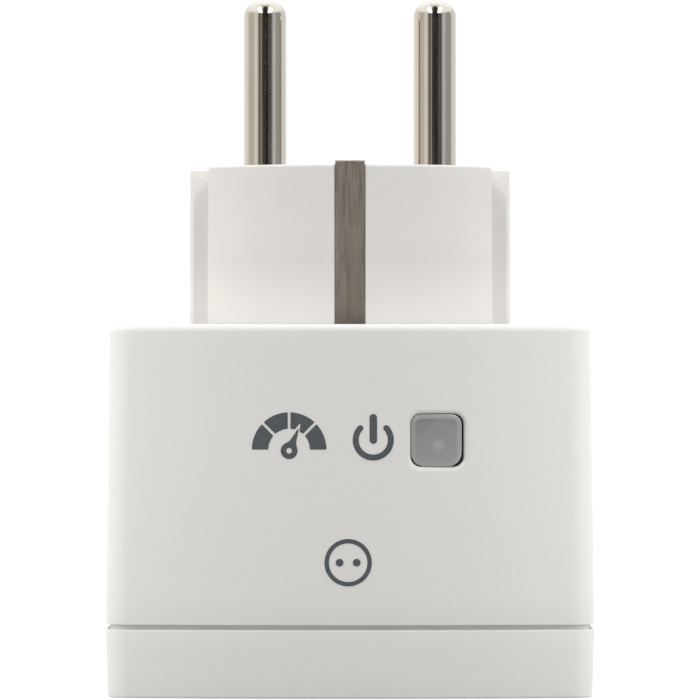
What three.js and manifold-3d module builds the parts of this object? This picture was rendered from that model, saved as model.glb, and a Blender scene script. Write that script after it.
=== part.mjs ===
// Plug-through power meter: a mains adapter with a two-pin grounded plug above and a recessed socket
// below, a switching relay, a metering board and a radio module inside.
//
// Millimetres. +Z runs from the socket rim (z = 0) to the tips of the plug pins. The front, with the
// button, faces -Y. The pins stand on the X axis and the earth contacts lie on the Y axis.

import * as THREE from 'three'
import { mergeVertices } from 'three/addons/utils/BufferGeometryUtils.js'
import Module from 'manifold-3d'

const wasm = await Module()
wasm.setup()

// ---- driving dimensions -------------------------------------------------------------------------

const HALF_WIDTH = 26.5 // flat sides, at the seam
const HALF_DEPTH = 27.2 // middle of the front and back, at the seam
const FRONT_RADIUS = 200 // gentle bulge of the front and back, seen from above
const CORNER_RADIUS = 3
const SIDE_DRAFT = 0.017 // how much each side leans in, per millimetre of height
const RING_DRAFT = 0.03
const WALL = 2
const TOP_FILLET = 0.9

const RING_TOP = 7.5
const SEAM_TOP = 8
const SHOULDER = 40.4
const NECK_TOP = 57.9
const PIN_TIP = 76.8

const NECK_RADIUS = 18.15
const NECK_FLAT = 15.72 // the neck's flats, in X
const GUIDE_BOTTOM = 15.6 // bottom of the guide slots, in X
const GUIDE_HALF = 2.8
const FIN_EDGE = 4.8

const PIN_SPACING = 19
const PIN_X = PIN_SPACING / 2
const PIN_RADIUS = 2.4
const TIP_LENGTH = 1.85 // rounded end of a pin

const RECESS_RADIUS = 19.75
const RECESS_DEPTH = 17.5
const WELL_RADIUS = 21.55
const WELL_FLOOR_TOP = 19.3
const RIB_X = 16.1 // guide ribs of the socket reach in to this
const RIB_HALF = 2.45
const POST_XY = 20.4 // the four screw posts

const STRAP_Y = 17.55 // middle of the earth strap
const STRAP_HALF = 1.62
const STRAP_THICK = 0.8

const SHUTTER_ANGLE = 35 // degrees between closed and open
const CARRIER_TOP = 28.6
const BOARD_BOTTOM = 31.8
const BOARD_TOP = 33.4
const PANEL_FRONT = -20.1 // front face of the control board
const PANEL_BACK = -19.1

const BUTTON = { x: 9.38, z: 27.88, size: 5.45, corner: 1, gap: 0.15, face: -26.5 }
const SWITCH_Z = 23.3
const RELAY_BOTTOM = 33.7
const COIL_Y = 3.5
const GAP = 0.3 // between faces that would touch

// ---- materials ----------------------------------------------------------------------------------

const material = (color, roughness, metalness = 0) =>
  new THREE.MeshStandardMaterial({ color, roughness, metalness })

const shellWhite = () => material(0xe9e8e5, 0.5)
const socketWhite = () => material(0xe2e1de, 0.45)
const buttonGrey = () => material(0x8e9090, 0.35)
const carrierGrey = () => material(0xc9c8c2, 0.6)
const nickel = () => material(0xbdb7aa, 0.22, 1)
const earthSteel = () => material(0x8a8074, 0.4, 1)
const brass = () => material(0xb99a4f, 0.35, 1)
const copper = () => material(0xb06a3c, 0.4, 1)
const iron = () => material(0x8b8d90, 0.45, 1)
const laminate = () => material(0x2f6b46, 0.5)
const blackPlastic = () => material(0x1c1d1f, 0.5)
const relayBlue = () => material(0x2b4f8f, 0.45)
const yellowFilm = () => material(0xd8b93a, 0.5)
const ceramicBlue = () => material(0x2f62a3, 0.5)
const screwSteel = () => material(0x9c9ea1, 0.35, 1)

// ---- solids -------------------------------------------------------------------------------------

function solid(geometry) {
  geometry.deleteAttribute('normal')
  geometry.deleteAttribute('uv')
  const merged = mergeVertices(geometry, 1e-4)
  return new wasm.Manifold(
    new wasm.Mesh({
      numProp: 3,
      vertProperties: new Float32Array(merged.attributes.position.array),
      triVerts: new Uint32Array(merged.index.array),
    }),
  )
}

const join = (...parts) => parts.reduce((sum, next) => sum.add(next))
const cut = (body, ...tools) => tools.reduce((left, tool) => left.subtract(tool), body)

function box(x0, y0, z0, x1, y1, z1) {
  const geometry = new THREE.BoxGeometry(x1 - x0, y1 - y0, z1 - z0)
  return solid(geometry.translate((x0 + x1) / 2, (y0 + y1) / 2, (z0 + z1) / 2))
}

// A box of half width `half` about x = 0.
const middleBox = (half, y0, z0, y1, z1) => box(-half, y0, z0, half, y1, z1)

function rod(x, y, z0, z1, radius, sides = 16) {
  const geometry = new THREE.CylinderGeometry(radius, radius, z1 - z0, sides)
  geometry.rotateX(Math.PI / 2)
  return solid(geometry.translate(x, y, (z0 + z1) / 2))
}

// A cylinder along Y.
function rodY(x, z, y0, y1, radius, sides = 16) {
  const geometry = new THREE.CylinderGeometry(radius, radius, y1 - y0, sides)
  return solid(geometry.translate(x, (y0 + y1) / 2, z))
}

// A profile of [radius, z] points turned about the vertical line through x, y.
function turned(profile, x, y, sides = 24) {
  const points = profile.map(([radius, z]) => new THREE.Vector2(radius, z))
  const geometry = new THREE.LatheGeometry(points, sides)
  geometry.rotateX(Math.PI / 2)
  return solid(geometry.translate(x, y, 0))
}

function prism(outline, z0, z1) {
  const settings = { depth: z1 - z0, bevelEnabled: false, steps: 1 }
  return solid(new THREE.ExtrudeGeometry(new THREE.Shape(outline), settings).translate(0, 0, z0))
}

// An outline drawn through rows of [z, scale], so that its sides lean and its edges round off.
function tapered(outline, rows) {
  const settings = { depth: rows.length - 1, bevelEnabled: false, steps: rows.length - 1 }
  const geometry = new THREE.ExtrudeGeometry(new THREE.Shape(outline), settings)
  const position = geometry.attributes.position
  for (let i = 0; i < position.count; i += 1) {
    const [z, scale] = rows[Math.round(position.getZ(i))]
    position.setXYZ(i, position.getX(i) * scale, position.getY(i) * scale, z)
  }
  return solid(geometry)
}

// A flat strip bent along [y, z] points, of width 2 * half about x = 0.
function bentStrip(points, thickness, half) {
  const legs = points.slice(1).map(([y, z], i) => {
    const [startY, startZ] = points[i]
    const length = Math.hypot(y - startY, z - startZ)
    const leg = new THREE.BoxGeometry(2 * half, length + thickness, thickness)
    leg.rotateX(Math.atan2(z - startZ, y - startY))
    return solid(leg.translate(0, (y + startY) / 2, (z + startZ) / 2))
  })
  return join(...legs)
}

// ---- outlines -----------------------------------------------------------------------------------

const polar = (radius, angle, x = 0, y = 0) =>
  new THREE.Vector2(x + radius * Math.cos(angle), y + radius * Math.sin(angle))

function arc(radius, from, to, steps, x = 0, y = 0) {
  return Array.from({ length: steps + 1 }, (_, i) =>
    polar(radius, from + ((to - from) * i) / steps, x, y),
  )
}

// Square with flat sides, a bulged front and back and round corners, set in by `inset` all round.
function housingOutline(inset) {
  const frontCentre = FRONT_RADIUS - HALF_DEPTH
  const cornerX = HALF_WIDTH - CORNER_RADIUS
  const reach = Math.sqrt((FRONT_RADIUS - CORNER_RADIUS) ** 2 - cornerX ** 2)
  const cornerY = reach - frontCentre
  const turn = Math.atan2(cornerX, reach)
  const left = Math.PI
  const front = (3 * Math.PI) / 2
  const right = 2 * Math.PI
  const half = [
    ...arc(CORNER_RADIUS - inset, left, front - turn, 5, -cornerX, -cornerY),
    ...arc(FRONT_RADIUS - inset, front - turn, front + turn, 8, 0, frontCentre).slice(1, -1),
    ...arc(CORNER_RADIUS - inset, front + turn, right, 5, cornerX, -cornerY),
  ]
  return [...half, ...half.map((point) => point.clone().negate())]
}

function roundedSquare(size, radius) {
  const middle = size / 2 - radius
  return [0, 1, 2, 3].flatMap((k) => {
    const start = (k * Math.PI) / 2
    const x = middle * (k === 0 || k === 3 ? 1 : -1)
    const y = middle * (k < 2 ? 1 : -1)
    return arc(radius, start, start + Math.PI / 2, 3, x, y)
  })
}

// The neck: a circle with flats at left and right, and a guide slot between two fins on each.
function neckOutline() {
  const flatEnd = Math.asin(Math.sqrt(NECK_RADIUS ** 2 - NECK_FLAT ** 2) / NECK_RADIUS)
  const finOuter = Math.asin(FIN_EDGE / NECK_RADIUS)
  const finInner = Math.asin(GUIDE_HALF / NECK_RADIUS)
  const upperRight = [
    new THREE.Vector2(GUIDE_BOTTOM, GUIDE_HALF),
    ...arc(NECK_RADIUS, finInner, finOuter, 1),
    new THREE.Vector2(NECK_FLAT, FIN_EDGE),
    ...arc(NECK_RADIUS, flatEnd, Math.PI / 2, 8),
  ]
  const upperLeft = upperRight.slice(0, -1).reverse().map((p) => new THREE.Vector2(-p.x, p.y))
  const upper = [...upperRight, ...upperLeft]
  const lower = upper.map((p) => new THREE.Vector2(-p.x, -p.y))
  return [...upper, ...lower]
}

const housingScale = (z, inset = 0) =>
  (HALF_WIDTH - SIDE_DRAFT * (z - SEAM_TOP) - inset) / HALF_WIDTH

const ringScale = (z, inset = 0) => (HALF_WIDTH - RING_DRAFT * (RING_TOP - z) - inset) / HALF_WIDTH

// Rows of a quarter-round edge that ends at `z`, with `radius`, closing inward.
function roundedTop(z, radius, scaleAt) {
  return [0, 30, 60, 90].map((degrees) => {
    const angle = THREE.MathUtils.degToRad(degrees)
    const height = z - radius + radius * Math.sin(angle)
    return [height, scaleAt(height, radius * (1 - Math.cos(angle)))]
  })
}

const corners = [1, -1].flatMap((x) => [1, -1].map((y) => [x * POST_XY, y * POST_XY]))
const pinSides = [-1, 1]

// ---- casing -------------------------------------------------------------------------------------

const LIP = 0.8 // wall left outside the ring's spigot
const SPIGOT_OUTER = 1.1
const SPIGOT_INNER = 2.3
const SPIGOT_TOP = 11.8
const POST_RADIUS = 2.7
const SCREW_HOLE = 1.5

function mainHousing() {
  const outer = tapered(housingOutline(0), [
    [SEAM_TOP, housingScale(SEAM_TOP, 0.25)],
    [SEAM_TOP + 0.3, housingScale(SEAM_TOP + 0.3)],
    ...roundedTop(SHOULDER, TOP_FILLET, housingScale),
  ])
  const ceiling = SHOULDER - WALL
  const cavity = tapered(housingOutline(WALL), [
    [SEAM_TOP - 1, housingScale(SEAM_TOP)],
    [ceiling, housingScale(ceiling)],
  ])
  const lipTop = SPIGOT_TOP + GAP
  const lip = tapered(housingOutline(LIP), [
    [SEAM_TOP - 1, housingScale(SEAM_TOP)],
    [lipTop, housingScale(lipTop)],
  ])
  const neckHole = rod(0, 0, ceiling - 1, SHOULDER + 1, NECK_RADIUS + GAP, 48)
  const hole = roundedSquare(BUTTON.size + 2 * BUTTON.gap, BUTTON.corner + BUTTON.gap)
  const buttonHole = prism(hole, 0, 8).rotate([90, 0, 0]).translate([BUTTON.x, -20, BUTTON.z])
  const posts = corners.map(([x, y]) => rod(x, y, SEAM_TOP + 0.2, ceiling + 0.5, POST_RADIUS, 16))
  const screwHoles = corners.map(([x, y]) => rod(x, y, SEAM_TOP - 1, 18, SCREW_HOLE, 10))
  return cut(join(cut(outer, cavity, lip, neckHole, buttonHole), ...posts), ...screwHoles)
}

const FLANGE_BOTTOM = 36.6
const FLANGE_RADIUS = 20.8
const NECK_CAVITY = 15.2
const CAVITY_HALF = 13.9
const END_WALL = 2.2
const CHANNEL_HALF = STRAP_HALF + 0.33
const CHANNEL_Y = STRAP_Y - STRAP_THICK / 2 - GAP
const HOOK_Y = 14 // where the strap's inner leg goes down through the end wall

function plugNeck() {
  const scaleAt = (z, inset = 0) => (NECK_RADIUS - 0.006 * (z - SHOULDER) - inset) / NECK_RADIUS
  const flangeTop = SHOULDER - WALL - GAP
  const neck = tapered(neckOutline(), [
    [flangeTop, 1],
    [SHOULDER, 1],
    ...roundedTop(NECK_TOP, 0.8, scaleAt),
  ])
  const base = rod(0, 0, flangeTop - 0.5, SHOULDER - 0.05, NECK_RADIUS, 48)
  const flange = rod(0, 0, FLANGE_BOTTOM, flangeTop, FLANGE_RADIUS, 40)
  const cavityTop = NECK_TOP - END_WALL
  const round = rod(0, 0, FLANGE_BOTTOM - 1, cavityTop, NECK_CAVITY, 32)
  const cavity = round.intersect(
    box(-CAVITY_HALF, -20, FLANGE_BOTTOM - 1, CAVITY_HALF, 20, cavityTop + 1),
  )
  const pinHoles = pinSides.map((side) =>
    rod(side * PIN_X, 0, cavityTop - 1, NECK_TOP + 1, PIN_RADIUS + GAP, 24),
  )
  const strapCut = join(
    middleBox(CHANNEL_HALF, CHANNEL_Y, FLANGE_BOTTOM - 1, 21, NECK_TOP + 1),
    middleBox(CHANNEL_HALF, HOOK_Y - 0.7, NECK_TOP - 0.7, 18.2, NECK_TOP + 1),
    middleBox(CHANNEL_HALF, HOOK_Y - 0.7, cavityTop - 1, HOOK_Y + 0.7, NECK_TOP + 1),
  )
  const body = cut(join(neck, base, flange), cavity, ...pinHoles)
  return cut(body, strapCut, strapCut.rotate([0, 0, 180]))
}

const RING_FLOOR = 2
const PAD_RADIUS = 3.4
const HEAD_POCKET = 2.5

function socketRing() {
  const outer = tapered(housingOutline(0), [
    [0, ringScale(0, 0.5)],
    [0.15, ringScale(0.15, 0.2)],
    [0.5, ringScale(0.5)],
    [RING_TOP - 0.3, ringScale(RING_TOP - 0.3)],
    [RING_TOP, ringScale(RING_TOP, 0.25)],
  ])
  const spigot = tapered(housingOutline(SPIGOT_OUTER), [
    [RING_TOP - 1, 1],
    [SPIGOT_TOP, housingScale(SPIGOT_TOP)],
  ])
  const bore = tapered(housingOutline(SPIGOT_INNER), [
    [RING_FLOOR, 1],
    [SPIGOT_TOP + 1, housingScale(SPIGOT_TOP + 1)],
  ])
  const pads = corners.map(([x, y]) => rod(x, y, RING_FLOOR - 0.5, RING_TOP + 0.4, PAD_RADIUS, 16))
  const mouth = rod(0, 0, -1, RING_FLOOR + 1, WELL_RADIUS + GAP, 48)
  const screwWays = corners.flatMap(([x, y]) => [
    rod(x, y, -1, SPIGOT_TOP, SCREW_HOLE, 10),
    rod(x, y, -1, HEAD_POCKET, 2.6, 12),
  ])
  return cut(join(cut(join(outer, spigot), bore), ...pads), mouth, ...screwWays)
}

function socketWell() {
  const cup = turned(
    [
      [0, RECESS_DEPTH],
      [RECESS_RADIUS, RECESS_DEPTH],
      [RECESS_RADIUS, 0.6],
      [RECESS_RADIUS + 0.6, 0],
      [WELL_RADIUS, 0],
      [WELL_RADIUS, RING_FLOOR + GAP],
      [23.4, RING_FLOOR + GAP],
      [23.4, RING_FLOOR + 1.9],
      [WELL_RADIUS, RING_FLOOR + 1.9],
      [WELL_RADIUS, WELL_FLOOR_TOP],
      [0, WELL_FLOOR_TOP],
    ],
    0,
    0,
    48,
  )
  const rib = box(RIB_X, -RIB_HALF, 1.2, RECESS_RADIUS + 0.5, RIB_HALF, RECESS_DEPTH + 0.5)
  const ribs = [rib, rib.rotate([0, 0, 180])]
  const pinHoles = pinSides.map((side) =>
    rod(side * PIN_X, 0, RECESS_DEPTH - 1, WELL_FLOOR_TOP + 1, 3, 20),
  )
  const window = middleBox(2.4, 17.4, 4.4, 24, 15)
  const windows = [window, window.rotate([0, 0, 180])]
  const pilots = carrierScrews.map(([x, y]) => rod(x, y, 18.3, WELL_FLOOR_TOP + 1, 1.05, 10))
  return cut(join(cup, ...ribs), ...pinHoles, ...windows, ...pilots)
}

// ---- socket mechanism ---------------------------------------------------------------------------

const DISC_RADIUS = 13.4
const DISC_BOTTOM = 19.6
const DISC_TOP = 21.2
const HUB_RADIUS = 1.6
const CARRIER_RADIUS = 16.8
const CARRIER_FLOOR = 21.5
const carrierScrews = [
  [7.6, 13.3],
  [-7.6, -13.3],
]

function contactCarrier() {
  const body = rod(0, 0, DISC_BOTTOM, CARRIER_TOP, CARRIER_RADIUS, 40)
  const discRoom = cut(
    rod(0, 0, DISC_BOTTOM - 1, CARRIER_FLOOR, DISC_RADIUS + 0.5, 40),
    rod(0, 0, DISC_BOTTOM - 2, CARRIER_FLOOR + 1, HUB_RADIUS, 16),
  )
  const springRoom = cut(
    rod(0, 0, CARRIER_FLOOR - 1, 23.5, 4.1, 20),
    rod(0, 0, CARRIER_FLOOR - 2, 24, HUB_RADIUS, 16),
  )
  const pockets = pinSides.flatMap((side) => [
    rod(side * PIN_X, 0, CARRIER_FLOOR - 1, CARRIER_TOP + 1, 3, 20),
    rod(side * PIN_X, 0, CARRIER_FLOOR + 0.5, CARRIER_TOP + 1, 4.2, 20),
  ])
  const screwWays = carrierScrews.map(([x, y]) => rod(x, y, 18, CARRIER_TOP + 1, 1.05, 10))
  return cut(body, discRoom, springRoom, ...pockets, ...screwWays)
}

// Closed at rest. The plug's pins press on the two ramps and turn the windows over the pin holes.
function shutterDisc() {
  const windows = [0, 180].map((side) => {
    const angle = THREE.MathUtils.degToRad(side - SHUTTER_ANGLE)
    const { x, y } = polar(PIN_X, angle)
    return rod(x, y, DISC_BOTTOM - 1, DISC_TOP + 1, 3, 20)
  })
  const ramps = [0, 180].map((side) => {
    const ramp = new THREE.BoxGeometry(5, 7, 2)
    ramp.rotateX(THREE.MathUtils.degToRad(-9)).translate(PIN_X, -0.6, DISC_BOTTOM - 0.55)
    return solid(ramp.rotateZ(THREE.MathUtils.degToRad(side)))
  })
  const hub = rod(0, 0, DISC_BOTTOM - 1, DISC_TOP + 1, HUB_RADIUS + 0.06, 16)
  return cut(rod(0, 0, DISC_BOTTOM, DISC_TOP, DISC_RADIUS, 40), ...windows, ...ramps, hub)
}

function shutterSpring() {
  const turns = 2
  const stepsPerTurn = 14
  const points = Array.from({ length: turns * stepsPerTurn + 1 }, (_, i) => {
    const flat = polar(3.1, (2 * Math.PI * i) / stepsPerTurn)
    return new THREE.Vector3(flat.x, flat.y, 21.8 + (0.65 * i) / stepsPerTurn)
  })
  const section = new THREE.Shape(arc(0.2, 0, (2 * Math.PI * 5) / 6, 5))
  const extrudePath = new THREE.CatmullRomCurve3(points)
  const settings = { steps: turns * stepsPerTurn, bevelEnabled: false, extrudePath }
  return solid(new THREE.ExtrudeGeometry(section, settings))
}

// Split sleeve that grips a plug pin, with a tail up to the board.
function pinContact(side) {
  const opening = THREE.MathUtils.degToRad(35)
  const sleeve = [
    ...arc(3.4, opening, 2 * Math.PI - opening, 14),
    ...arc(2.6, 2 * Math.PI - opening, opening, 14),
  ]
  const grip = prism(sleeve, 22.3, 28.2).rotate([0, 0, side > 0 ? 180 : 0])
  const tail = side > 0 ? [2.7, 3.4] : [-3.4, -2.7]
  const leg = box(tail[0], -1.5, 22.3, tail[1], 1.5, BOARD_BOTTOM - GAP)
  return join(grip, leg).translate([side * PIN_X, 0, 0])
}

function carrierScrew([x, y]) {
  return turned(
    [
      [0, 18.6],
      [0.75, 18.9],
      [0.75, CARRIER_TOP + GAP],
      [1.6, CARRIER_TOP + GAP],
      [1.45, CARRIER_TOP + 1.2],
      [0, CARRIER_TOP + 1.4],
    ],
    x,
    y,
    10,
  )
}

function socketScrew([x, y]) {
  const head = turned(
    [
      [0, 0.7],
      [1.9, 0.9],
      [2.2, 1.3],
      [2.2, 2.2],
      [1.2, 2.2],
      [1.2, 15.4],
      [0, 16.6],
    ],
    x,
    y,
    14,
  )
  const slots = [box(-1.3, -0.22, 0, 1.3, 0.22, 1.4), box(-0.22, -1.3, 0, 0.22, 1.3, 1.4)]
  return cut(head, ...slots.map((slot) => slot.rotate([0, 0, 30]).translate([x, y, 0])))
}

// ---- plug pins and earth path -------------------------------------------------------------------

function plugPin(side) {
  const shoulder = PIN_TIP - TIP_LENGTH
  const tip = [0, 18, 36, 54, 72].map((degrees) => {
    const angle = THREE.MathUtils.degToRad(degrees)
    return [PIN_RADIUS * Math.cos(angle), shoulder + TIP_LENGTH * Math.sin(angle)]
  })
  return turned(
    [
      [0, 49.6],
      [1.8, 49.6],
      [1.8, 52.4],
      [3.6, 52.4],
      [3.6, NECK_TOP - END_WALL - GAP],
      [PIN_RADIUS, NECK_TOP - END_WALL - GAP],
      ...tip,
      [0, PIN_TIP],
    ],
    side * PIN_X,
    0,
    24,
  )
}

// Eye round the pin's stub, and a leg down to the board.
function pinStrip(side) {
  const plate = box(-2.3, -2.5, 50.6, 3.2, 2.5, 51.4)
  const leg = box(2.4, -1.8, BOARD_TOP + GAP, 3.2, 1.8, 51.4)
  const eye = rod(0, 0, 50, 52, 2.1, 16)
  const strip = cut(join(plate, leg), eye)
  return (side > 0 ? strip : strip.rotate([0, 0, 180])).translate([side * PIN_X, 0, 0])
}

// Runs up the neck's channel, folds over the end and goes down through the end wall.
function plugEarthClip(side) {
  const top = NECK_TOP
  const strip = bentStrip(
    [
      [STRAP_Y, 25.9],
      [STRAP_Y, top],
      [HOOK_Y, top],
      [HOOK_Y, 52],
    ],
    STRAP_THICK,
    STRAP_HALF,
  )
  return side > 0 ? strip : strip.rotate([0, 0, 180])
}

// Laps the strap's lower end, steps out past the well and springs back in through its window.
function socketEarthSpring(side) {
  const strip = bentStrip(
    [
      [18.5, 30],
      [18.5, 20.05],
      [22.4, 20.05],
      [22.4, 5.4],
      [18.9, 5.4],
      [17.5, 8.6],
      [17.5, 11.2],
      [18.6, 14],
    ],
    0.5,
    STRAP_HALF,
  )
  return side > 0 ? strip : strip.rotate([0, 0, 180])
}

function earthBridge() {
  const reach = STRAP_Y - STRAP_THICK / 2 - GAP - 0.3
  return bentStrip(
    [
      [-reach, 31.1],
      [-reach, 29.3],
      [reach, 29.3],
      [reach, 31.1],
    ],
    0.6,
    STRAP_HALF,
  )
}

// ---- boards and their parts ---------------------------------------------------------------------

function mainBoard() {
  const plate = box(-22.6, -16.6, BOARD_BOTTOM, 22.6, 22.6, BOARD_TOP)
  const postRoom = pinSides.map((side) =>
    rod(side * POST_XY, POST_XY, BOARD_BOTTOM - 1, BOARD_TOP + 1, POST_RADIUS + 0.4, 16),
  )
  const outside = pinSides.map((side) => {
    const [near, far] = [side * POST_XY, side * 24].sort((a, b) => a - b)
    return box(near, POST_XY, BOARD_BOTTOM - 1, far, 24, BOARD_TOP + 1)
  })
  const strapSlot = middleBox(2.1, 16.8, BOARD_BOTTOM - 1, 18.4, BOARD_TOP + 1)
  return cut(plate, ...postRoom, ...outside, strapSlot)
}

function supplyTransformer() {
  const core = box(-15, 17.7, 22.4, -4.6, 23.4, 29.4)
  const bobbin = box(-13.2, 18.3, 20.4, -6.4, 22.8, BOARD_BOTTOM - GAP)
  return join(core, bobbin)
}

function filmCapacitor() {
  const body = box(17.4, -8, 20.6, 23, 8, BOARD_BOTTOM - 0.6)
  const feet = [-5, 5].map((y) => box(19.8, y - 0.4, 31, 20.6, y + 0.4, BOARD_BOTTOM - GAP))
  return join(body, ...feet)
}

function uprightCan(x, y, radius, z0, z1) {
  const lip = 0.4
  return turned(
    [
      [0, z0],
      [radius - lip, z0],
      [radius, z0 + lip],
      [radius, z1 - lip],
      [radius - lip, z1],
      [0, z1],
    ],
    x,
    y,
    16,
  )
}

function powerInductor() {
  const bottom = 21.2
  const top = BOARD_BOTTOM - GAP
  return turned(
    [
      [0, bottom],
      [3.3, bottom],
      [3.3, bottom + 1.2],
      [2.6, bottom + 1.6],
      [2.6, top - 1.6],
      [3.3, top - 1.2],
      [3.3, top],
      [0, top],
    ],
    -20.5,
    0,
    16,
  )
}

function varistor() {
  const disc = rodY(0, 0, -1.4, 1.4, 3.5, 16).rotate([0, 0, 90])
  const legs = [-2, 2].map((y) => box(-0.3, y - 0.3, BOARD_TOP + GAP - 40.2, 0.3, y + 0.3, 0))
  return join(disc, ...legs).translate([8.9, -6.6, 40.2])
}

function fusibleResistor() {
  return turned(
    [
      [0, BOARD_TOP + GAP],
      [0.3, BOARD_TOP + GAP],
      [0.3, 35.6],
      [1.4, 36],
      [1.6, 37],
      [1.4, 38],
      [1.4, 42],
      [1.6, 43],
      [1.4, 44],
      [0, 44.4],
    ],
    9.6,
    7,
    12,
  )
}

function shuntResistor() {
  const strip = bentStrip(
    [
      [-13.2, BOARD_TOP + 0.55],
      [-11.4, BOARD_TOP + 0.55],
      [-10, BOARD_TOP + 1.9],
      [-6, BOARD_TOP + 1.9],
      [-4.6, BOARD_TOP + 0.55],
      [-2.8, BOARD_TOP + 0.55],
    ],
    0.5,
    1.3,
  )
  return strip.translate([-18.6, 0, 0])
}

// Black package with gull-wing legs along two sides.
function smallChip(x, y, halfX, halfY, height, legsPerSide) {
  const z0 = BOARD_TOP + GAP
  const body = box(x - halfX, y - halfY, z0 + 0.15, x + halfX, y + halfY, z0 + height)
  const pitch = (2 * halfX - 0.6) / (legsPerSide - 1)
  const legs = Array.from({ length: legsPerSide }, (_, i) => {
    const centre = x - halfX + 0.3 + pitch * i
    return box(centre - 0.2, y - halfY - 0.9, z0, centre + 0.2, y + halfY + 0.9, z0 + 0.4)
  })
  return join(body, ...legs)
}

function controlBoard() {
  return box(-16.5, PANEL_FRONT, 20.9, 16.5, PANEL_BACK, BOARD_BOTTOM - GAP)
}

function radioBoard() {
  return box(-15, PANEL_FRONT - GAP - 0.8, 21.4, -2, PANEL_FRONT - GAP, 31.2)
}

function radioShield() {
  const back = PANEL_FRONT - 2 * GAP - 0.8
  return box(-13.4, back - 1.6, 22, -3.6, back, 28.6)
}

function pushSwitchBody() {
  const x = BUTTON.x
  const y = PANEL_FRONT - GAP
  const body = box(x - 2.2, y - 1.5, SWITCH_Z - 2, x + 2.2, y, SWITCH_Z + 2)
  const feet = [-1, 1].map((side) =>
    box(x + side * 2.2 - 0.5, y - 0.4, SWITCH_Z - 1.6, x + side * 2.2 + 0.5, y, SWITCH_Z + 1.6),
  )
  return cut(join(body, ...feet), rodY(x, SWITCH_Z, y - 2, y - 0.25, 1.45, 14))
}

function indicatorLed() {
  const y = PANEL_FRONT - GAP
  const base = box(BUTTON.x - 1.3, y - 0.7, BUTTON.z - 1.3, BUTTON.x + 1.3, y, BUTTON.z + 1.3)
  return join(base, rodY(BUTTON.x, BUTTON.z, y - 1.6, y - 0.5, 0.95, 14))
}

// Square face in the housing's hole, a flange behind the wall and a stem on the push switch.
function buttonCap() {
  const outline = roundedSquare(BUTTON.size, BUTTON.corner)
  const flangeFront = -23.95
  const flangeBack = -23.15
  const depth = flangeFront - BUTTON.face + 0.2
  const face = prism(outline, 0, depth).rotate([90, 0, 0])
  const placed = face.translate([BUTTON.x, BUTTON.face + depth, BUTTON.z])
  const flange = box(BUTTON.x - 3.6, flangeFront, 21.4, BUTTON.x + 3.6, flangeBack, 31.2)
  const stem = rodY(BUTTON.x, SWITCH_Z, flangeBack - 0.2, -22.5, 1.1, 12)
  return join(placed, flange, stem)
}

const pushSwitchPlunger = () => rodY(BUTTON.x, SWITCH_Z, -22.3, -21.15, 1.15, 14)

// ---- relay --------------------------------------------------------------------------------------

const YOKE_TOP = 45.8
const ARMATURE_BOTTOM = 46.1
const ARMATURE_TOP = 47
const CONTACT_Y = -8.6

function relayCover() {
  const outer = box(-6.8, -12.5, RELAY_BOTTOM, 6.8, 12.5, 49.6)
  return cut(outer, box(-6, -11.7, RELAY_BOTTOM - 1, 6, 11.7, 48.8))
}

const relayBase = () => box(-5.7, -11.4, RELAY_BOTTOM, 5.7, 11.4, RELAY_BOTTOM + 1.8)

function relayYoke() {
  const foot = middleBox(4, -1, 35.8, 10, 36.8)
  const upright = middleBox(4, 9, 35.8, 10, YOKE_TOP)
  return cut(join(foot, upright), rod(0, COIL_Y, 35, 38, 1.6, 14))
}

function relayCoil() {
  return turned(
    [
      [1.6, 37.1],
      [4.9, 37.1],
      [4.9, 37.9],
      [4.3, 38.1],
      [4.3, 43.5],
      [4.9, 43.7],
      [4.9, 44.5],
      [1.6, 44.5],
      [1.6, 37.1],
    ],
    0,
    COIL_Y,
    20,
  )
}

function relayCore() {
  return turned(
    [
      [0, 35.8],
      [1.3, 35.8],
      [1.3, 44.8],
      [3.2, 44.8],
      [3.2, 45.5],
      [0, 45.5],
    ],
    0,
    COIL_Y,
    16,
  )
}

const relayArmature = () => middleBox(4, -3, ARMATURE_BOTTOM, 10.2, ARMATURE_TOP)

function relayContactSpring() {
  const leaf = middleBox(1.6, -10, ARMATURE_TOP + GAP, 4, ARMATURE_TOP + GAP + 0.3)
  return join(leaf, rod(0, CONTACT_Y, 46.6, ARMATURE_TOP + GAP + 0.1, 1.1, 12))
}

function relayFixedContact() {
  const strip = bentStrip(
    [
      [-10.6, 36.1],
      [-10.6, 44.5],
      [-7.7, 44.5],
    ],
    0.6,
    2,
  )
  return join(strip, rod(0, CONTACT_Y, 44.4, 45.3, 1.1, 12))
}

// ---- assembly -----------------------------------------------------------------------------------

function piece(name, body, surface) {
  const { vertProperties, triVerts, numProp } = body.getMesh()
  const geometry = new THREE.BufferGeometry()
  const count = vertProperties.length / numProp
  const positions = new Float32Array(count * 3)
  for (let i = 0; i < count; i += 1) {
    positions.set(vertProperties.subarray(i * numProp, i * numProp + 3), i * 3)
  }
  geometry.setAttribute('position', new THREE.BufferAttribute(positions, 3))
  geometry.setIndex(new THREE.BufferAttribute(new Uint32Array(triVerts), 1))
  geometry.computeVertexNormals()
  const mesh = new THREE.Mesh(geometry, surface)
  mesh.name = name
  return mesh
}

function group(...pieces) {
  const made = new THREE.Group()
  made.add(...pieces)
  return made
}

const casing = group(
  piece('main_housing', mainHousing(), shellWhite()),
  piece('plug_neck', plugNeck(), shellWhite()),
  piece('socket_ring', socketRing(), shellWhite()),
  piece('socket_well', socketWell(), socketWhite()),
  ...corners.map((place, i) => piece(`socket_screw_${i + 1}`, socketScrew(place), screwSteel())),
)

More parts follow.
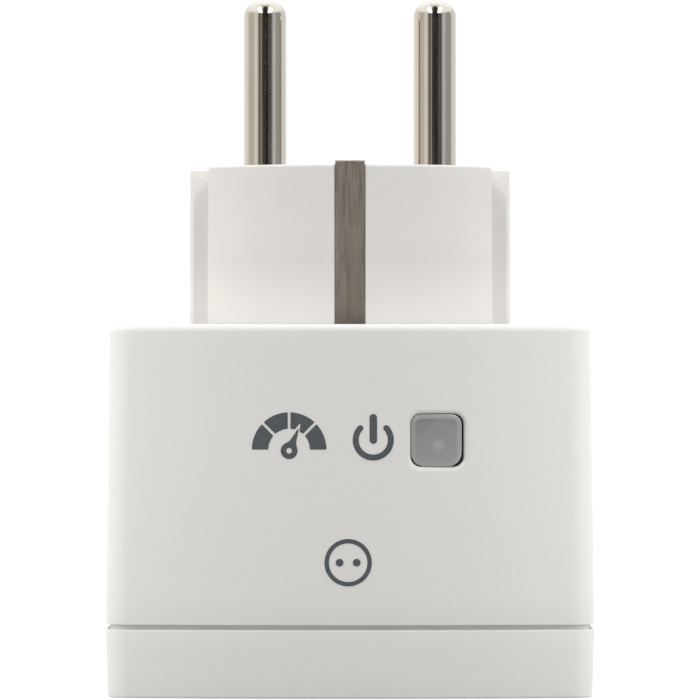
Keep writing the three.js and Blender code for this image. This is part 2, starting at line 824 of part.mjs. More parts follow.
const plug = group(
  piece('neutral_pin', plugPin(-1), nickel()),
  piece('line_pin', plugPin(1), nickel()),
  piece('neutral_pin_strip', pinStrip(-1), copper()),
  piece('line_pin_strip', pinStrip(1), copper()),
  piece('plug_earth_clip_front', plugEarthClip(-1), earthSteel()),
  piece('plug_earth_clip_rear', plugEarthClip(1), earthSteel()),
)

const socket = group(
  piece('contact_carrier', contactCarrier(), carrierGrey()),
  piece('shutter_disc', shutterDisc(), socketWhite()),
  piece('shutter_spring', shutterSpring(), iron()),
  piece('neutral_contact', pinContact(-1), brass()),
  piece('line_contact', pinContact(1), brass()),
  piece('earth_bridge', earthBridge(), earthSteel()),
  piece('socket_earth_spring_front', socketEarthSpring(-1), earthSteel()),
  piece('socket_earth_spring_rear', socketEarthSpring(1), earthSteel()),
  ...carrierScrews.map((place, i) => piece(`carrier_screw_${i + 1}`, carrierScrew(place), screwSteel())),
)

const electronics = group(
  piece('main_board', mainBoard(), laminate()),
  piece('supply_transformer', supplyTransformer(), yellowFilm()),
  piece('film_capacitor', filmCapacitor(), yellowFilm()),
  piece('electrolytic_capacitor', uprightCan(-10.3, 6.3, 2.7, BOARD_TOP + GAP, 45.6), blackPlastic()),
  piece('power_inductor', powerInductor(), copper()),
  piece('varistor', varistor(), ceramicBlue()),
  piece('fusible_resistor', fusibleResistor(), ceramicBlue()),
  piece('shunt_resistor', shuntResistor(), copper()),
  piece('metering_chip', smallChip(18.6, -4, 2.4, 2, 1.6, 8), blackPlastic()),
  piece('rectifier', smallChip(18.8, 8, 2.2, 1.9, 2, 2), blackPlastic()),
)

const control = group(
  piece('control_board', controlBoard(), laminate()),
  piece('radio_board', radioBoard(), laminate()),
  piece('radio_shield', radioShield(), iron()),
  piece('push_switch_body', pushSwitchBody(), blackPlastic()),
  piece('push_switch_plunger', pushSwitchPlunger(), socketWhite()),
  piece('indicator_led', indicatorLed(), socketWhite()),
  piece('button_cap', buttonCap(), buttonGrey()),
)

const relay = group(
  piece('relay_base', relayBase(), blackPlastic()),
  piece('relay_cover', relayCover(), relayBlue()),
  piece('relay_yoke', relayYoke(), iron()),
  piece('relay_coil', relayCoil(), copper()),
  piece('relay_core', relayCore(), iron()),
  piece('relay_armature', relayArmature(), iron()),
  piece('relay_contact_spring', relayContactSpring(), brass()),
  piece('relay_fixed_contact', relayFixedContact(), brass()),
)

export default group(casing, plug, socket, electronics, control, relay)
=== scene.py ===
"""Looks of the plug-through power meter: fine shells, metal parts, prints and procedural materials.

Sizes in this file are millimetres in the frame's axes (+Z to the plug pins, -Y the front), and
become metres where a mesh is made.
"""

import math

import bmesh
import bpy
from mathutils import Matrix, Vector
from mathutils.geometry import delaunay_2d_cdt


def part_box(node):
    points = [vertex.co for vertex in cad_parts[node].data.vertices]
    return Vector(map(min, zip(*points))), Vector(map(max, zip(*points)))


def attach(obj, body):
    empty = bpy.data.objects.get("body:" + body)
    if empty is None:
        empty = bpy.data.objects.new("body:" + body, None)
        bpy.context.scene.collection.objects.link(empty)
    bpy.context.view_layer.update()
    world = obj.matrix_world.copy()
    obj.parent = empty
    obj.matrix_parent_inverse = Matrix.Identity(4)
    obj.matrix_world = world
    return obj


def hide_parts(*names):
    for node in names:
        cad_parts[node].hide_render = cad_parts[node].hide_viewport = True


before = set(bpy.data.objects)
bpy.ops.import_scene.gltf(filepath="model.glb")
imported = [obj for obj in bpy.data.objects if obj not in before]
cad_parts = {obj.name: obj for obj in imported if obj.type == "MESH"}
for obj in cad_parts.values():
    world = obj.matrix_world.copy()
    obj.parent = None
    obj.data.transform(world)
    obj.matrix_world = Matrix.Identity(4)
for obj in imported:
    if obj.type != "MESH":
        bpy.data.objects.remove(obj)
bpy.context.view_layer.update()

MM = 0.001
scene = bpy.context.scene


def box_mm(node):
    low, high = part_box(node)
    return Vector(low) / MM, Vector(high) / MM


# ---- dimensions, from the frame where it states them

housing_low, housing_high = box_mm("main_housing")
neck_low, neck_high = box_mm("plug_neck")
pin_low, pin_high = box_mm("line_pin")
button_low, button_high = box_mm("button_cap")

HALF_WIDTH = housing_high.x
HALF_DEPTH = housing_high.y
SEAM_TOP = housing_low.z - 0.07
SHOULDER = housing_high.z
FRONT_RADIUS = 200
CORNER_RADIUS = 3
SIDE_DRAFT = 0.0148
RING_DRAFT = 0.03
RING_TOP = 7.4
WALL = 2
TOP_FILLET = 0.9

NECK_TOP = neck_high.z
NECK_BOTTOM = neck_low.z
NECK_RADIUS = 18.15
NECK_FLAT = 15.72
GUIDE_BOTTOM = 15.6
GUIDE_HALF = 2.8
FIN_EDGE = 4.8
NECK_DRAFT = 0.006
BOUNCE_GLOW_HEIGHT = 7 # height above the shoulder over which a painted glow, standing in for light bounced up from the shoulder, lightens the neck
FIN_TOP = NECK_TOP - 0.38

PIN_X = (pin_low.x + pin_high.x) / 2
PIN_RADIUS = 2.4
PIN_TIP = pin_high.z
TIP_LENGTH = 1.85

BUTTON_X = (button_low.x + button_high.x) / 2
BUTTON_Z = 27.88
BUTTON_FACE = button_low.y - 0.21
CAP_X = BUTTON_X - 0.1 # the cap sits to the left in its hole
CAP_Z = BUTTON_Z - 0.02
CAP_HALF_X = 2.735
CAP_HALF_Z = 2.815
CAP_CORNER_TOP = 1.1
CAP_CORNER_LOW = 1.5
HOLE_HALF = 2.86
HOLE_CORNER = 1.12
RIM = 0.55
RIM_DEPTH = 0.4

STRAP_Y = 17.79
STRAP_HALF = 1.62
STRAP_THICK = 0.36
CHANNEL_HALF = 1.66
CHANNEL_Y = 16.85
POST_XY = 20.4
CORNERS = [(x, y) for x in (POST_XY, -POST_XY) for y in (POST_XY, -POST_XY)]

WELL_RADIUS = 21.55
RECESS_RADIUS = 19.75
RECESS_DEPTH = 17.5


# ---- mesh helpers

def finish_mesh(mesh, angle):
    """Merges doubles, drops loose points, turns the faces out and shades smooth up to an angle in
    degrees."""
    work = bmesh.new()
    work.from_mesh(mesh)
    bmesh.ops.remove_doubles(work, verts=work.verts, dist=1e-7)
    loose = [vertex for vertex in work.verts if not vertex.link_faces]
    bmesh.ops.delete(work, geom=loose, context="VERTS")
    bmesh.ops.recalc_face_normals(work, faces=work.faces)
    work.to_mesh(mesh)
    work.free()
    mesh.shade_smooth()
    mesh.set_sharp_from_angle(angle=math.radians(angle))


def add_object(name, points, faces, angle=32):
    mesh = bpy.data.meshes.new(name)
    mesh.from_pydata([Vector(point) * MM for point in points], [], faces)
    finish_mesh(mesh, angle)
    obj = bpy.data.objects.new(name, mesh)
    scene.collection.objects.link(obj)
    return obj


def strip_faces(first, second):
    """Quads between two closed rows of vertex numbers."""
    count = len(first)
    return [(first[i], first[(i + 1) % count], second[(i + 1) % count], second[i]) for i in range(count)]


def loft(name, rings, around=False, angle=32):
    """A surface through rings of points. It closes on itself, or its two ends get flat caps."""
    count = len(rings[0])
    points = [point for ring in rings for point in ring]
    rows = [list(range(k * count, (k + 1) * count)) for k in range(len(rings))]
    faces = [face for k in range(len(rows) - 1) for face in strip_faces(rows[k], rows[k + 1])]
    if around:
        faces += strip_faces(rows[-1], rows[0])
    else:
        faces += [rows[0][::-1], rows[-1]]
    return add_object(name, points, faces, angle)


def turned(name, profile, centre=(0, 0), steps=96, angle=32):
    """A profile of (radius, z) points turned about a vertical line. It starts and ends on the line,
    or closes on itself."""
    points = []
    rows = []
    for radius, z in profile:
        if radius == 0:
            rows.append([len(points)] * steps)
            points.append((centre[0], centre[1], z))
        else:
            rows.append(list(range(len(points), len(points) + steps)))
            points += [(*polar(radius, 2 * math.pi * i / steps, *centre), z) for i in range(steps)]
    faces = []
    pairs = list(zip(rows, rows[1:]))
    if profile[0][0] != 0:
        pairs.append((rows[-1], rows[0]))
    for first, second in pairs:
        for quad in strip_faces(first, second):
            corners = list(dict.fromkeys(quad))
            if len(corners) > 2:
                faces.append(corners)
    return add_object(name, points, faces, angle)


def combine(base, tools, operation="DIFFERENCE", angle=32):
    """Joins solids to base or cuts them from it, and removes them."""
    for tool in tools:
        modifier = base.modifiers.new("combine", "BOOLEAN")
        modifier.operation = operation
        modifier.solver = "MANIFOLD"
        modifier.object = tool
    evaluated = base.evaluated_get(bpy.context.evaluated_depsgraph_get())
    mesh = bpy.data.meshes.new_from_object(evaluated)
    mesh.name = base.name
    base.modifiers.clear()
    base.data = mesh
    for tool in tools:
        bpy.data.objects.remove(tool)
    finish_mesh(mesh, angle)
    return base


def polar(radius, angle, x=0, y=0):
    return (x + radius * math.cos(angle), y + radius * math.sin(angle))


def spread(start, end, steps):
    """steps + 1 even values from start to end."""
    return [start + (end - start) * i / steps for i in range(steps + 1)]


def arc(radius, start, end, steps, x=0, y=0):
    return [polar(radius, angle, x, y) for angle in spread(start, end, steps)]


def circle(radius, count, x=0, y=0):
    return arc(radius, 0, 2 * math.pi * (count - 1) / count, count - 1, x, y)


def quarter(radius, steps):
    """(in, up) pairs of a quarter round: from (0, 0) at its side to (radius, radius) at its top."""
    angles = spread(0, math.pi / 2, steps)
    return [(radius * (1 - math.cos(a)), radius * math.sin(a)) for a in angles]


def rounded(points, radius, steps=5, closed=True, corner=25):
    """The same outline with each corner sharper than `corner` degrees replaced by an arc."""
    result = []
    count = len(points)
    for i, point in enumerate(points):
        here = Vector(point)
        if not closed and i in (0, count - 1):
            result.append(tuple(here))
            continue
        back = Vector(points[i - 1]) - here
        ahead = Vector(points[(i + 1) % count]) - here
        turn = math.pi - back.angle(ahead)
        if math.degrees(turn) < corner:
            result.append(tuple(here))
            continue
        reach = min(radius * math.tan(turn / 2), 0.48 * back.length, 0.48 * ahead.length)
        start = here + back.normalized() * reach
        end = here + ahead.normalized() * reach
        result += [tuple(start.lerp(here, t).lerp(here.lerp(end, t), t)) for t in spread(0, 1, steps)]
    return result


def at_height(outline, z):
    return [(x, y, z) for x, y in outline]


def at_depth(outline, y):
    """An outline in X and Z, placed at one Y."""
    return [(x, y, z) for x, z in outline]


def rounded_block(name, low, high, edge=0.15):
    """A box with rounded edges, for covers, boards and flanges."""
    centre_x, centre_y = (low[0] + high[0]) / 2, (low[1] + high[1]) / 2
    half_x, half_y = (high[0] - low[0]) / 2, (high[1] - low[1]) / 2

    def ring(inset, z):
        x, y = half_x - inset, half_y - inset
        outline = [(x, y), (-x, y), (-x, -y), (x, -y)]
        soft = rounded(outline, max(edge - inset, 0.02), 3)
        return [(centre_x + a, centre_y + b, z) for a, b in soft]

    lower = [ring(inset, low[2] + edge - rise) for inset, rise in reversed(quarter(edge, 3))]
    upper = [ring(inset, high[2] - edge + rise) for inset, rise in quarter(edge, 3)]
    return loft(name, lower + upper)


def bent_strip(name, path, thickness, half, bend=0.55, edge=0.12, facing=1):
    """A rounded flat strip along (y, z) points, of half width `half` about x = 0."""
    route = rounded([(y * facing, z) for y, z in path], bend, 8, closed=False)
    side = thickness / 2
    section = rounded([(half, side), (-half, side), (-half, -side), (half, -side)], edge, 3)
    rings = []
    for i, point in enumerate(route):
        before = Vector(route[max(i - 1, 0)])
        after = Vector(route[min(i + 1, len(route) - 1)])
        along = (after - before).normalized()
        across = Vector((-along.y, along.x))
        rings.append([(x, point[0] + across.x * t, point[1] + across.y * t) for x, t in section])
    return loft(name, rings)


def block(name, half, y_ends, z_ends):
    """A plain cutter about x = 0."""
    low_y, high_y = sorted(y_ends)
    outline = [(half, low_y), (half, high_y), (-half, high_y), (-half, low_y)]
    return loft(name, [at_height(outline, z) for z in z_ends])


def place(obj, material, slot, *nodes, body="casing"):
    """Gives a piece its material and its body, and hides the CAD nodes that it stands for. The slot is not
    used.
    """
    obj.data.materials.clear()
    obj.data.materials.append(material)
    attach(obj, body)
    if nodes:
        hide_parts(*nodes)
    return obj


# ---- outlines

FRONT_CENTRE = FRONT_RADIUS - HALF_DEPTH
CORNER_X = HALF_WIDTH - CORNER_RADIUS
CORNER_REACH = math.sqrt((FRONT_RADIUS - CORNER_RADIUS) ** 2 - CORNER_X**2)
CORNER_Y = CORNER_REACH - FRONT_CENTRE
FRONT_TURN = math.atan2(CORNER_X, CORNER_REACH)
FRONT_END = FRONT_RADIUS * math.sin(FRONT_TURN)
PATCH = 4.8 # half size of the fine patch round the button's hole
PATCH_STEPS = 24

left_stations = spread(-FRONT_END, BUTTON_X - PATCH, 24)[:-1]
fine_stations = spread(BUTTON_X - PATCH, BUTTON_X + PATCH, PATCH_STEPS)
right_stations = spread(BUTTON_X + PATCH, FRONT_END, 8)[1:]
FRONT_STATIONS = left_stations + fine_stations + right_stations
CORNER_STEPS = 12
SIDE_STEPS = 16
PATCH_START = CORNER_STEPS + len(left_stations)


def square_outline(inset):
    """Square with flat sides and a bulged front and back, set in by `inset`. The front comes first."""
    front = 1.5 * math.pi
    corner = CORNER_RADIUS - inset
    half = arc(corner, math.pi, front - FRONT_TURN, CORNER_STEPS, -CORNER_X, -CORNER_Y)
    for station in FRONT_STATIONS[1:-1]:
        half.append(polar(FRONT_RADIUS - inset, front + math.asin(station / FRONT_RADIUS), 0, FRONT_CENTRE))
    half += arc(corner, front + FRONT_TURN, 2 * math.pi, CORNER_STEPS, CORNER_X, -CORNER_Y)
    half += [(half[-1][0], y) for y in spread(-CORNER_Y, CORNER_Y, SIDE_STEPS)[1:-1]]
    return half + [(-x, -y) for x, y in half]


def housing_scale(z):
    return (HALF_WIDTH - SIDE_DRAFT * (z - SEAM_TOP)) / HALF_WIDTH


def ring_scale(z):
    return (HALF_WIDTH - RING_DRAFT * (RING_TOP - z)) / HALF_WIDTH


def square_ring(z, inset, scale_at=housing_scale):
    scale = scale_at(z)
    return [(x * scale, y * scale, z) for x, y in square_outline(inset)]


def to_circle(ring, radius, share):
    """The ring moved part of the way to a circle about the axis."""
    moved = []
    for x, y, z in ring:
        factor = 1 + (radius / math.hypot(x, y) - 1) * share
        moved.append((x * factor, y * factor, z))
    return moved


def front_y(x, z, inset=0):
    """The housing's front surface."""
    scale = housing_scale(z)
    return -scale * (math.sqrt((FRONT_RADIUS - inset) ** 2 - (x / scale) ** 2) - FRONT_CENTRE)


def square_reach(angle, half, corner):
    """Distance from the middle of a rounded square to its edge, in the direction of `angle`."""
    across, up = sorted((abs(math.cos(angle)), abs(math.sin(angle))), reverse=True)
    middle = half - corner
    if half * up / across <= middle:
        return half / across
    along = middle * (across + up)
    return along + math.sqrt(along**2 - 2 * middle**2 + corner**2)


# ---- materials

def mix_colours(tree, factor, first, second):
    """A colour between two, each an (r, g, b) or another node's output."""
    node = tree.nodes.new("ShaderNodeMix")
    node.data_type = "RGBA"
    tree.links.new(factor, node.inputs["Factor"])
    ports = [socket for socket in node.inputs if socket.type == "RGBA"]
    for port, colour in zip(ports, (first, second)):
        if isinstance(colour, tuple):
            port.default_value = (*colour, 1)
        else:
            tree.links.new(colour, port)
    return [socket for socket in node.outputs if socket.type == "RGBA"][0]


class Finish:
    """One procedural material. Textures are placed in the frame's own millimetres."""

    def __init__(self, name, roughness, metallic=0.0, **sockets):
        self.material = bpy.data.materials.new(name)
        self.material.use_nodes = True
        self.tree = self.material.node_tree
        self.nodes = self.tree.nodes
        self.links = self.tree.links
        self.shader = self.nodes["Principled BSDF"]
        sockets.update(Roughness=roughness, Metallic=metallic)
        for socket, value in sockets.items():
            self.shader.inputs[socket.replace("_", " ")].default_value = value
        self.place = self.nodes.new("ShaderNodeTexCoord").outputs["Object"]
        self.normal = None

    def scaled(self, size, stretch=(1, 1, 1)):
        """Coordinates in which one unit is `size` millimetres, longer along a stretched axis."""
        mapping = self.nodes.new("ShaderNodeMapping")
        mapping.inputs["Scale"].default_value = [1 / (size * MM * s) for s in stretch]
        self.links.new(self.place, mapping.inputs["Vector"])
        return mapping.outputs["Vector"]

    def split(self, vector):
        node = self.nodes.new("ShaderNodeSeparateXYZ")
        self.links.new(vector, node.inputs["Vector"])
        return node.outputs

    def noise(self, size, stretch=(1, 1, 1), detail=4.0, roughness=0.55):
        node = self.nodes.new("ShaderNodeTexNoise")
        node.inputs["Scale"].default_value = 1
        node.inputs["Detail"].default_value = detail
        node.inputs["Roughness"].default_value = roughness
        self.links.new(self.scaled(size, stretch), node.inputs["Vector"])
        return node.outputs["Fac"]

    def cells(self, size, feature="F1"):
        node = self.nodes.new("ShaderNodeTexVoronoi")
        node.feature = feature
        node.inputs["Scale"].default_value = 1
        self.links.new(self.scaled(size), node.inputs["Vector"])
        return node.outputs["Distance"]

    def between(self, factor, low, high, from_low=0.3, from_high=0.7):
        node = self.nodes.new("ShaderNodeMapRange")
        values = {"From Min": from_low, "From Max": from_high, "To Min": low, "To Max": high}
        for socket, value in values.items():
            node.inputs[socket].default_value = value
        self.links.new(factor, node.inputs["Value"])
        return node.outputs["Result"]

    def patches(self, size, **options):
        """Noise spread over the whole range from 0 to 1."""
        return self.between(self.noise(size, **options), 0, 1)

    def mixed(self, factor, first, second):
        return mix_colours(self.tree, factor, first, second)

    def colour(self, output):
        self.links.new(output, self.shader.inputs["Base Color"])

    def rough(self, factor, low, high, *span):
        self.links.new(self.between(factor, low, high, *span), self.shader.inputs["Roughness"])

    def bump(self, height, depth, strength):
        """Adds relief `depth` millimetres deep on top of any relief so far."""
        node = self.nodes.new("ShaderNodeBump")
        node.inputs["Distance"].default_value = depth * MM
        node.inputs["Strength"].default_value = strength
        self.links.new(height, node.inputs["Height"])
        if self.normal:
            self.links.new(self.normal, node.inputs["Normal"])
        self.normal = node.outputs["Normal"]
        self.links.new(self.normal, self.shader.inputs["Normal"])


def moulded(name, colour, roughness=0.5, grain=0.004, warm=(1.0, 0.985, 0.96), foot=None):
    """Satin moulded plastic: faint cloudy tint, spark-eroded grain and a few rubbed spots. A `foot`
    colour comes in down to the shoulder: painted light, a glow standing in for light bounced up from the
    shoulder."""
    finish = Finish(name, roughness, Specular_IOR_Level=0.45)
    tint = tuple(c * w for c, w in zip(colour, warm))
    light = tuple(min(c * 1.015, 1) for c in colour)
    clouds = finish.patches(9, detail=3)
    fine = finish.patches(0.6)
    body = finish.mixed(fine, finish.mixed(clouds, tint, colour), light)
    if foot:
        # painted glow: the colour grows paler towards the shoulder, standing in for light bounced up from it
        painted_bounce_glow = finish.between(finish.split(finish.place)["Z"], 1, 0, SHOULDER * MM, (SHOULDER + BOUNCE_GLOW_HEIGHT) * MM)
        body = finish.mixed(painted_bounce_glow, body, foot)
    finish.colour(body)
    finish.rough(finish.noise(3.5, detail=6), roughness - 0.05, roughness + 0.06)
    finish.bump(finish.noise(6, detail=2), 0.012, 0.5)
    finish.bump(finish.noise(0.16, detail=3, roughness=0.6), grain, 0.55)
    return finish.material


def printed_ink(name, colour):
    """Pad-printed ink: slightly uneven cover and a drier surface than the shell."""
    finish = Finish(name, 0.55)
    cover = finish.patches(0.5, detail=5)
    finish.colour(finish.mixed(cover, tuple(c * 0.9 for c in colour), tuple(c * 1.12 for c in colour)))
    finish.rough(finish.noise(0.3), 0.48, 0.62)
    finish.bump(finish.noise(0.12), 0.003, 0.5)
    return finish.material


def plated_nickel(name):
    """Polished nickel plate with fine draw marks along the pin and a few contact rubs."""
    finish = Finish(name, 0.08, 1.0)
    streaks = finish.patches(0.22, stretch=(1, 1, 60), detail=5)
    smoky = finish.patches(2.2, stretch=(1, 1, 3))
    base = finish.mixed(smoky, (0.68, 0.63, 0.555), (0.73, 0.69, 0.62))
    finish.colour(finish.mixed(streaks, base, (0.71, 0.665, 0.59)))
    finish.rough(finish.noise(0.5, stretch=(1, 1, 20), detail=6), 0.045, 0.11)
    finish.bump(finish.noise(0.13, stretch=(1, 1, 90), detail=3), 0.0012, 0.5)
    finish.bump(finish.noise(0.1, stretch=(1, 1, 3), detail=2), 0.0012, 0.5)
    return finish.material


def rolled_strip(name, dark, light, roughness, along=(1, 1, 14)):
    """Stamped strip metal, brushed along its length, with darker stains."""
    finish = Finish(name, roughness, 1.0)
    lines = finish.between(finish.noise(0.12, stretch=along, detail=6), 0, 1, 0.2, 0.8)
    stains = finish.between(finish.noise(2.4, stretch=(1, 1, 3), detail=4), 0, 1, 0.35, 0.7)
    finish.colour(finish.mixed(stains, finish.mixed(lines, dark, light), dark))
    finish.rough(finish.noise(0.35, stretch=along), roughness - 0.08, roughness + 0.1)
    finish.bump(finish.noise(0.14, stretch=along, detail=4), 0.004, 0.6)
    return finish.material


def plain_metal(name, dark, light, roughness, size=0.6):
    """Zinc plate or raw iron: cloudy brightness and a fine orange peel."""
    finish = Finish(name, roughness, 1.0)
    clouds = finish.patches(size * 2.5, detail=5)
    finish.colour(finish.mixed(clouds, dark, light))
    finish.rough(finish.cells(size), roughness - 0.06, roughness + 0.1, 0, 0.8)
    finish.bump(finish.noise(0.2, detail=4), 0.004, 0.5)
    return finish.material


def circuit_board(name):
    """Green solder resist with tracks showing through as a slightly raised pattern."""
    finish = Finish(name, 0.35, Specular_IOR_Level=0.5)
    tracks = finish.between(finish.cells(1.3, feature="DISTANCE_TO_EDGE"), 0, 1, 0.08, 0.11)
    weave = finish.patches(0.35, detail=2)
    base = finish.mixed(weave, (0.012, 0.085, 0.035), (0.018, 0.11, 0.045))
    finish.colour(finish.mixed(tracks, (0.022, 0.13, 0.052), base))
    finish.rough(finish.noise(1.2), 0.28, 0.42)
    finish.bump(tracks, 0.03, 0.6)
    finish.bump(weave, 0.004, 0.4)
    return finish.material


def wound_wire(name):
    """Enamelled copper winding: turns lie round the vertical axis."""
    finish = Finish(name, 0.3, 0.85, Coat_Weight=0.4)
    wave = finish.nodes.new("ShaderNodeTexWave")
    wave.bands_direction = "Z"
    wave.inputs["Scale"].default_value = 1
    wave.inputs["Distortion"].default_value = 0.4
    finish.links.new(finish.scaled(1.1), wave.inputs["Vector"])
    turns = wave.outputs["Fac"]
    clouds = finish.patches(1.5)
    base = finish.mixed(clouds, (0.45, 0.16, 0.06), (0.62, 0.26, 0.10))
    # painted shade: the colour darkens in the bands between turns, in the grooves that the bump below sinks
    finish.colour(finish.mixed(turns, (0.22, 0.07, 0.03), base))
    finish.rough(finish.noise(0.4), 0.24, 0.4)
    finish.bump(turns, 0.08, 0.9)
    return finish.material


def dipped(name, dark, light, roughness=0.28):
    """Dipped or moulded component coating with a slow wave and speckle."""
    finish = Finish(name, roughness, Coat_Weight=0.3)
    speckle = finish.between(finish.noise(0.25, detail=6), 0, 1, 0.4, 0.65)
    finish.colour(finish.mixed(speckle, dark, light))
    finish.rough(finish.noise(1.4), roughness - 0.05, roughness + 0.1)
    finish.bump(finish.noise(1.8, detail=2), 0.05, 0.5)
    finish.bump(finish.noise(0.15), 0.004, 0.4)
    return finish.material


def smoked_button(name):
    """Translucent grey cap with a soft spot where the lamp's base shows through. Painted shade darkens it
    towards its top, and painted highlights make its sloping border and edges paler by their tilt.
    """
    finish = Finish(name, 0.3, Specular_IOR_Level=0.5, Coat_Weight=0.15, Coat_Roughness=0.15)
    spot = finish.nodes.new("ShaderNodeVectorMath")
    spot.operation = "DISTANCE"
    spot.inputs[1].default_value = ((BUTTON_X + 0.12) * MM, BUTTON_FACE * MM, (BUTTON_Z - 0.55) * MM)
    finish.links.new(finish.place, spot.inputs[0])
    glow = finish.between(spot.outputs["Value"], 1, 0, 0.2 * MM, 0.85 * MM)
    # painted shade: the cap is coloured darker towards its top
    low, high = (CAP_Z - CAP_HALF_Z) * MM, (CAP_Z + CAP_HALF_Z) * MM
    rise = finish.between(finish.split(finish.place)["Z"], 0, 1, low, high)
    body = finish.mixed(rise, (0.27, 0.275, 0.275), (0.18, 0.183, 0.19))
    haze = finish.patches(1.8, detail=1)
    body = finish.mixed(haze, body, (0.25, 0.252, 0.255))
    body = finish.mixed(glow, body, (0.32, 0.312, 0.312))
    # painted highlight: faces tilted away from the front get a paler colour, the sloping border a little and
    # the edges more
    facing = finish.split(finish.nodes.new("ShaderNodeNewGeometry").outputs["Normal"])["Y"]
    border = finish.between(facing, 0, 1, -0.995, -0.93)
    edge = finish.between(facing, 0, 1, -0.93, -0.6)
    body = finish.mixed(border, body, (0.29, 0.292, 0.288))
    finish.colour(finish.mixed(edge, body, (0.48, 0.48, 0.472)))
    finish.rough(finish.noise(1.2, detail=2), 0.32, 0.36)
    finish.bump(finish.noise(2.2, detail=0), 0.006, 0.4)
    return finish.material


shell_white = moulded("shell_white", (0.67, 0.663, 0.650))
# the neck's foot colour is a painted glow of light bounced up from the shoulder
neck_white = moulded("neck_white", (0.66, 0.645, 0.624), foot=(0.83, 0.81, 0.785))
socket_white = moulded("socket_white", (0.76, 0.752, 0.732), 0.42)
carrier_grey = moulded("carrier_grey", (0.56, 0.555, 0.53), 0.55)
button_grey = smoked_button("button_grey")
ink = printed_ink("slate_ink", (0.059, 0.066, 0.072))
nickel = plated_nickel("pin_nickel")
earth_metal = rolled_strip("earth_strip", (0.28, 0.241, 0.205), (0.40, 0.356, 0.313), 0.36)
brass = rolled_strip("contact_brass", (0.50, 0.36, 0.13), (0.72, 0.55, 0.24), 0.3)
copper_strip = rolled_strip("copper_strip", (0.42, 0.18, 0.09), (0.68, 0.34, 0.19), 0.3)
copper_wire = wound_wire("copper_wire")
iron = plain_metal("iron", (0.33, 0.335, 0.34), (0.48, 0.49, 0.5), 0.38)
screw_zinc = plain_metal("screw_zinc", (0.46, 0.47, 0.48), (0.62, 0.63, 0.64), 0.28, 0.4)
laminate = circuit_board("laminate")
black_plastic = moulded("black_plastic", (0.018, 0.018, 0.02), 0.45, 0.006, (1, 1, 1))
relay_blue = dipped("relay_blue", (0.022, 0.10, 0.31), (0.03, 0.125, 0.36))
yellow_film = dipped("yellow_film", (0.62, 0.42, 0.04), (0.72, 0.52, 0.07))
ceramic_blue = dipped("ceramic_blue", (0.03, 0.14, 0.38), (0.05, 0.18, 0.46), 0.34)
led_white = moulded("led_white", (0.82, 0.82, 0.78), 0.3, 0.002)


# ---- housing

LIP = 0.5 # wall left outside the spigot of the lower ring
LIP_TOP = 12.1
NECK_HOLE = NECK_RADIUS + 0.12
CEILING = SHOULDER - WALL


def housing_rings():
    """Rings up the outside, over the shoulder, down the neck hole and down the inside."""
    edge = 0.1
    fine = spread(BUTTON_Z - PATCH, BUTTON_Z + PATCH, PATCH_STEPS)
    wall = [11, 14, 17, 20] + fine + [35, 37.5]
    rings = [square_ring(SEAM_TOP + edge - up, inset) for inset, up in reversed(quarter(edge, 4))]
    rings += [square_ring(z, 0) for z in wall]
    fillet_start = SHOULDER - TOP_FILLET
    rings += [square_ring(fillet_start + up, inset) for inset, up in quarter(TOP_FILLET, 10)]
    lip = 0.2
    top = rings[-1]
    rings += [to_circle(top, NECK_HOLE + lip, share) for share in (0.25, 0.5, 0.75)]
    for inset, up in reversed(quarter(lip, 4)):
        flat = [(x, y, SHOULDER - lip + up) for x, y, _ in top]
        rings.append(to_circle(flat, NECK_HOLE + inset, 1))
    under = square_ring(CEILING, WALL + 0.5)
    rings += [to_circle(under, NECK_HOLE, 1), to_circle(under, NECK_HOLE, 0.5)]
    rings += [square_ring(CEILING - 0.5 + up, WALL + inset) for inset, up in reversed(quarter(0.5, 3))]
    rings += [square_ring(z, WALL) for z in reversed(wall[1:])]
    rings += [square_ring(LIP_TOP, WALL), square_ring(LIP_TOP, LIP), square_ring(SEAM_TOP, LIP)]
    return rings


